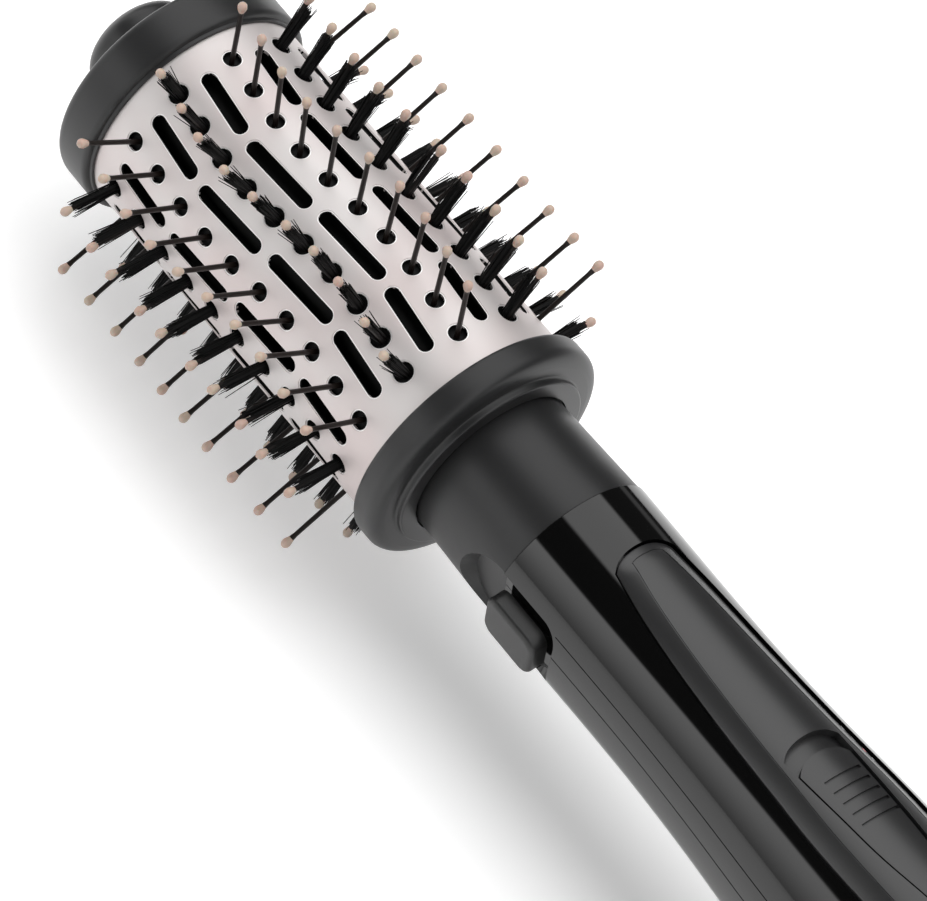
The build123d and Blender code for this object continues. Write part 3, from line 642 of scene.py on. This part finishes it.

# %% [markdown]
# ## Barrel
# The barrel is a thin metal tube. Twelve rows of round holes let the bristles through, and
# obround slots between them let out the air. All rows wander in the same gentle wave. The
# holes are cut twice: a shallow, wider cut leaves a thin ledge round each, then the through cut.
# The ledge is painted lighter as a highlight on the rim; the tube's inside is painted dark as shade.

# %% Barrel
BARREL_R, ROW_X, PITCH = 25.0, 274.5, 8.36
WAVE_DEGREES, WAVE_LENGTH = 2.5, 61
TUFT_ROWS = [39 + 60 * k for k in range(6)]
PIN_ROWS = [9 + 60 * k for k in range(6)]
HOLES = [PITCH * (i - 4.5) for i in range(10)]
SLOTS = ((-29.9, 15.5), (-10.55, 18.6), (10.55, 18.6), (29.9, 15.5))


def wave(u):
    """Degrees that a row wanders to the side, u from its middle."""
    return WAVE_DEGREES * math.sin(2 * math.pi * u / WAVE_LENGTH)


def wave_tilt(u):
    """The row's slant there."""
    steepest = math.radians(WAVE_DEGREES) * BARREL_R * 2 * math.pi / WAVE_LENGTH
    return math.atan(steepest * math.cos(2 * math.pi * u / WAVE_LENGTH))


barrel_profile = [(x, BARREL_R) for x in stations(225.6, 322.8, 2.5)]
barrel_profile += [(x, BARREL_R - 0.8) for x in stations(225.6, 322.8, 5.0)][::-1]
barrel = as_object(spun(barrel_profile, 288), "barrel_sleeve")


def punches(grow, bottom):
    """All holes and slots as one cutter, grown sideways, from this radius outwards."""
    cutter, height = bmesh.new(), 26.2 - bottom
    for rows, radius in ((TUFT_ROWS, 2.1), (PIN_ROWS, 1.9)):
        for row in rows:
            for u in HOLES:
                at = radial(row + wave(u), ROW_X + u, bottom + height / 2)
                bmesh.ops.create_cone(cutter, cap_ends=True, segments=28, radius1=radius + grow,
                                      radius2=radius + grow, depth=height, matrix=at)
    for row in TUFT_ROWS + PIN_ROWS:
        for u, length in SLOTS:
            one = rounded_plate(-length / 2 - grow, length / 2 + grow, 1.6 + grow, 1.59 + grow, 1.59 + grow, 6)
            raised(one, height)
            at = radial(row + 15 + wave(u), ROW_X + u, bottom)
            gather(cutter, one, at @ Matrix.Rotation(wave_tilt(u), 4, "Z"))
    return cutter


carve(barrel, punches(0.24, 24.78))
carve(barrel, punches(0.0, 23.2))
# Inside the tube and on the hole walls the metal is painted near black as shade; the thin ledge round each hole is
# painted lighter as a highlight on the rim.
for face in barrel.data.polygons:
    r = math.hypot(face.center.y, face.center.z)
    outward = (face.normal.y * face.center.y + face.normal.z * face.center.z) / r
    face.material_index = 1 if r < 24.5 else 2 if r < 24.95 and outward > 0.9 else 0
place(barrel, "brush_head", (pearl_metal, interior_shade, rim_highlight_paint), "barrel_metal", "barrel")

# %% Shade lining
# A near-black tube behind the bristle strips closes the view through the slots; it stands in as painted shade.
shade_lining = [(232.6, 20.8), (315.8, 20.8), (315.8, 20.4), (232.6, 20.4)]
place(as_object(spun(shade_lining, 96), "shade_lining"), "brush_head", interior_shade, "matte_black")

# %% [markdown]
# ## Plain pins
# A pin is a thin stem with a drop-shaped ball, spun once and set down sixty times. Its ball is
# a separate finish on the same mesh.

# %% Pins
STRIP_R = 23.49


def pin_mesh(foot, ball_at):
    profile = [(foot, 0.0), (foot, 0.6), (foot + 2.0, 0.55), (ball_at - 2.6, 0.5), (ball_at - 1.5, 0.62),
               (ball_at - 0.8, 0.86), (ball_at - 0.2, 1.0), (ball_at + 0.35, 0.93), (ball_at + 0.75, 0.66),
               (ball_at + 0.95, 0.34), (ball_at + 1.0, 0.0)]
    bm = bmesh.new()
    points = [bm.verts.new((r, 0, z)) for z, r in profile]
    edges = [bm.edges.new(pair) for pair in zip(points, points[1:])]
    bmesh.ops.spin(bm, geom=points + edges, cent=(0, 0, 0), axis=(0, 0, 1), dvec=(0, 0, 0),
                   angle=2 * math.pi, steps=10, use_merge=True, use_duplicate=False)
    bmesh.ops.remove_doubles(bm, verts=bm.verts, dist=1e-4)
    bmesh.ops.recalc_face_normals(bm, faces=bm.faces)
    for face in bm.faces:
        face.material_index = 1 if face.calc_center_median().z > ball_at - 1.2 else 0
    mesh = bpy.data.meshes.new("pin")
    bm.to_mesh(mesh)
    bm.free()
    return mesh


def plant(into, mesh, matrix):
    """Adds a copy of the mesh at this place."""
    start = len(into.verts)
    into.from_mesh(mesh)
    into.verts.ensure_lookup_table()
    bmesh.ops.transform(into, matrix=matrix, verts=into.verts[start:])


pins = bmesh.new()
pin = pin_mesh(STRIP_R, 40.5)
for row in PIN_ROWS:
    for u in HOLES:
        plant(pins, pin, radial(row + wave(u), ROW_X + u))
place(as_object(pins, "pins"), "brush_head", (pin_brown, ball_beige), "pin_plastic",
      *[f"pins_{k}" for k in range(1, 7)], sharp=70)

# %% [markdown]
# ## Tufts
# A tuft is a bundle of stiff fibres round one shorter pin. Each fibre is a three-sided needle,
# so thousands stay light. Five different bundles are made and turned at random, and their
# fibres differ in length and lean, which gives the ragged ends of cut bristle.

# %% Tufts
random.seed(7)


def bundle(fibres=75):
    bm = bmesh.new()
    for _ in range(fibres):
        spread, turn = math.sqrt(random.random()), random.random() * 2 * math.pi
        stray = random.random() < 0.12
        foot = Vector((math.cos(turn), math.sin(turn), 0)) * spread * 1.1
        top_r = spread * (2.1 if stray else 1.4) + random.uniform(-0.2, 0.2)
        top = Vector((math.cos(turn + random.uniform(-0.3, 0.3)), math.sin(turn), 0)) * top_r
        foot.z, top.z = STRIP_R, random.uniform(33.2, 35.6) + (random.uniform(0, 0.7) if stray else 0)
        lean = (top - foot).to_track_quat("Z", "Y").to_matrix().to_4x4()
        bmesh.ops.create_cone(bm, cap_ends=True, segments=3, radius1=0.15, radius2=0.09,
                              depth=(top - foot).length, matrix=Matrix.Translation((top + foot) / 2) @ lean)
    mesh = bpy.data.meshes.new("bundle")
    bm.to_mesh(mesh)
    bm.free()
    return mesh


tufts, guards = bmesh.new(), bmesh.new()
bundles = [bundle() for _ in range(5)]
guard = pin_mesh(STRIP_R, 36.8)
for row in TUFT_ROWS:
    for u in HOLES:
        at = radial(row + wave(u), ROW_X + u)
        plant(tufts, random.choice(bundles), at @ Matrix.Rotation(random.random() * 6.28, 4, "Z"))
        plant(guards, guard, at @ Matrix.Rotation(math.radians(random.uniform(-1.5, 1.5)), 4, "Y"))
place(as_object(tufts, "tufts"), "brush_head", fibre_black, "bristle",
      *[f"tufts_{k}" for k in range(1, 7)], sharp=20)
place(as_object(guards, "tuft_pins"), "brush_head", (pin_brown, ball_beige), "pin_plastic", sharp=70)

# %% [markdown]
# ## Floor, light and camera
# The brush lies on a white floor. The light is a broad ring of soft boxes along the brush, made
# in the world: bright and dark bands by direction round the X axis, which polished plastic
# shows as long, clean streaks. One lamp gives the soft shadow.

# %% Floor
FLOOR_LIFT = 0.34         # extra white, seen only by camera, mirror and glass rays
bm = bmesh.new()
bmesh.ops.create_grid(bm, x_segments=1, y_segments=1, size=6.0,
                      matrix=Matrix.Translation((0.17, 0, cad_box[0][2] - 0.0005)))
floor = as_object(bm, "floor")
floor_finish = bpy.data.materials.new("floor white")
floor_finish.use_nodes = True
tree = floor_finish.node_tree
tree.nodes.clear()
out, add, diffuse, glow, path = (tree.nodes.new("ShaderNode" + kind) for kind in (
    "OutputMaterial", "AddShader", "BsdfDiffuse", "Emission", "LightPath"))
diffuse.inputs["Color"].default_value = (0.86, 0.86, 0.86, 1)
seen = math_node(tree, "ADD", path.outputs["Is Camera Ray"], path.outputs["Is Glossy Ray"])
seen = math_node(tree, "ADD", seen, path.outputs["Is Transmission Ray"])
tree.links.new(math_node(tree, "MULTIPLY", seen, FLOOR_LIFT), glow.inputs["Strength"])
tree.links.new(diffuse.outputs[0], add.inputs[0])
tree.links.new(glow.outputs[0], add.inputs[1])
tree.links.new(add.outputs[0], out.inputs["Surface"])
floor.data.materials.append(floor_finish)

# %% World bands
BANDS = ((-180, 0.8), (-112, 0.8), (-100, 0.6), (-97, 0.05), (-84, 0.05), (-82, 0.4), (-76, 0.4), (-74, 0.05),
         (-43, 0.05), (-40, 1.85), (12, 1.85), (15, 0.03), (53, 0.03), (55, 2.1), (66, 1.8), (92, 0.6), (180, 0.4))
world = bpy.data.worlds.new("soft boxes")
bpy.context.scene.world = world
world.use_nodes = True
tree = world.node_tree
n, link = tree.nodes, tree.links.new
n.clear()
coords, split = n.new("ShaderNodeTexCoord"), n.new("ShaderNodeSeparateXYZ")
link(coords.outputs["Generated"], split.inputs[0])
turn = n.new("ShaderNodeMapRange")
turn.inputs["From Min"].default_value, turn.inputs["From Max"].default_value = -math.pi, math.pi
link(math_node(tree, "ARCTAN2", split.outputs[1], split.outputs[2]), turn.inputs["Value"])
ramp = n.new("ShaderNodeFloatCurve")
curve = ramp.mapping.curves[0]
TOP = 4.0                 # strength at the top of the curve
for i, (degrees, strength) in enumerate(BANDS):
    spot = ((degrees + 180) / 360, strength / TOP)
    if i < 1:
        curve.points[0].location = spot
    elif i == len(BANDS) - 1:
        curve.points[-1].location = spot
    else:
        curve.points.new(*spot)
for point in curve.points:
    point.handle_type = "VECTOR"
ramp.mapping.update()
link(turn.outputs[0], ramp.inputs["Value"])
bands, white, mix, path, out = (n.new("ShaderNode" + kind) for kind in (
    "Background", "Background", "MixShader", "LightPath", "OutputWorld"))
link(math_node(tree, "MULTIPLY", ramp.outputs[0], TOP), bands.inputs["Strength"])
seen = math_node(tree, "ADD", path.outputs["Is Camera Ray"], path.outputs["Is Transmission Ray"])
link(seen, mix.inputs[0])
link(bands.outputs[0], mix.inputs[1])
link(white.outputs[0], mix.inputs[2])
link(mix.outputs[0], out.inputs["Surface"])

# %% Lamp
lamp = bpy.data.lights.new("key", "AREA")
lamp.shape, lamp.size, lamp.size_y, lamp.energy = "RECTANGLE", 1.1, 0.9, 6.0
key = bpy.data.objects.new("key", lamp)
bpy.context.scene.collection.objects.link(key)
key.visible_glossy = False
key.location = (0.28, -0.26, 0.96)
key.rotation_euler = (Vector((0.2, 0, 0)) - key.location).to_track_quat("-Z", "Y").to_euler()

# %% Camera
camera = bpy.data.objects.new("camera", bpy.data.cameras.new("camera"))
bpy.context.scene.collection.objects.link(camera)
camera.data.sensor_width, camera.data.lens = 36.0, 155.3
camera.data.clip_start, camera.data.clip_end = 0.05, 20.0
right, up = Vector((-0.5996, -0.7537, 0.2692)), Vector((0.7117, -0.3483, 0.6101))
back = Vector((-0.3661, 0.5574, 0.7452))
turned = Matrix((right, up, back)).transposed().to_4x4()
camera.matrix_world = Matrix.Translation((-0.0545, 0.4302, 0.5710)) @ turned
bpy.context.scene.camera = camera
bpy.context.scene.view_settings.view_transform = "Standard"
